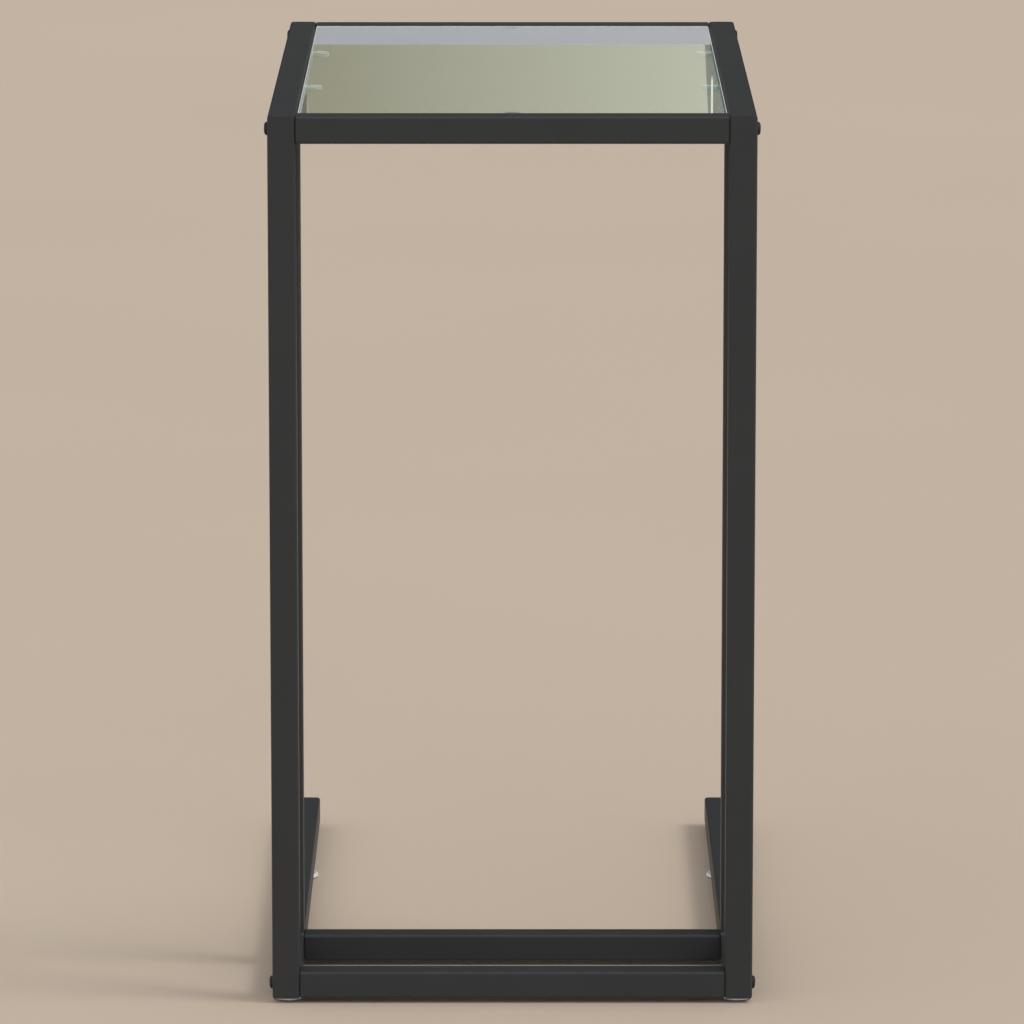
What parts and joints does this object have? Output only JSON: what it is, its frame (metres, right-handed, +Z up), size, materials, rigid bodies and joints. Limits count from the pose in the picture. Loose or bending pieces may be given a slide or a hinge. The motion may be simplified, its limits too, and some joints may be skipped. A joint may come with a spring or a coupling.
{
  "type": "c shaped side table",
  "caption": "Narrow C shaped side table of square steel tube with a glass top let into the upper frame and an open U shaped base on levelling feet.",
  "frame": {"origin": "on the floor, under the middle of the table's outline", "axes": "+Z up, +X to the table's right seen from the posts, +Y from the posts towards the open side"},
  "size_m": [0.3548, 0.565, 0.652],
  "materials": {
    "powder_coat": "satin anthracite black powder coat",
    "glass": "clear float glass with ground edges, faint green in the edge",
    "silicone": "milky silicone",
    "black_cap": "moulded satin black",
    "black_steel": "blackened steel",
    "pale_nylon": "moulded natural nylon",
    "zinc_steel": "zinc plated"
  },
  "bodies": {
    "frame": {"left_front_post": "powder_coat", "left_rear_post": "powder_coat", "left_top_rail": "powder_coat", "left_base_rail": "powder_coat", "right_front_post": "powder_coat", "right_rear_post": "powder_coat", "right_top_rail": "powder_coat", "right_base_rail": "powder_coat", "top_front_rail": "powder_coat", "top_front_plugs": "black_steel", "top_front_bolts": "black_steel", "top_rear_rail": "powder_coat", "top_rear_plugs": "black_steel", "top_rear_bolts": "black_steel", "base_front_rail": "powder_coat", "base_front_plugs": "black_steel", "base_front_bolts": "black_steel", "base_rear_rail": "powder_coat", "base_rear_plugs": "black_steel", "base_rear_bolts": "black_steel", "left_top_cap": "black_cap", "left_base_cap": "black_cap", "right_top_cap": "black_cap", "right_base_cap": "black_cap", "glass_top": "glass", "left_glass_tabs": "powder_coat", "right_glass_tabs": "powder_coat", "front_glass_tab": "powder_coat", "rear_glass_tab": "powder_coat", "glass_pads": "silicone", "foot_nuts": "zinc_steel"},
    "left_front_foot": {"left_front_glide": "pale_nylon", "left_front_stem": "zinc_steel"},
    "left_rear_foot": {"left_rear_glide": "pale_nylon", "left_rear_stem": "zinc_steel"},
    "right_front_foot": {"right_front_glide": "pale_nylon", "right_front_stem": "zinc_steel"},
    "right_rear_foot": {"right_rear_glide": "pale_nylon", "right_rear_stem": "zinc_steel"}
  },
  "joints": [
    {"name": "left_front_foot_screw", "type": "slide", "parent": "frame", "child": "left_front_foot", "axis": [0, 0, -1], "range_m": [0, 0.008]},
    {"name": "left_rear_foot_screw", "type": "slide", "parent": "frame", "child": "left_rear_foot", "axis": [0, 0, -1], "range_m": [0, 0.008]},
    {"name": "right_front_foot_screw", "type": "slide", "parent": "frame", "child": "right_front_foot", "axis": [0, 0, -1], "range_m": [0, 0.008]},
    {"name": "right_rear_foot_screw", "type": "slide", "parent": "frame", "child": "right_rear_foot", "axis": [0, 0, -1], "range_m": [0, 0.008]}
  ]
}
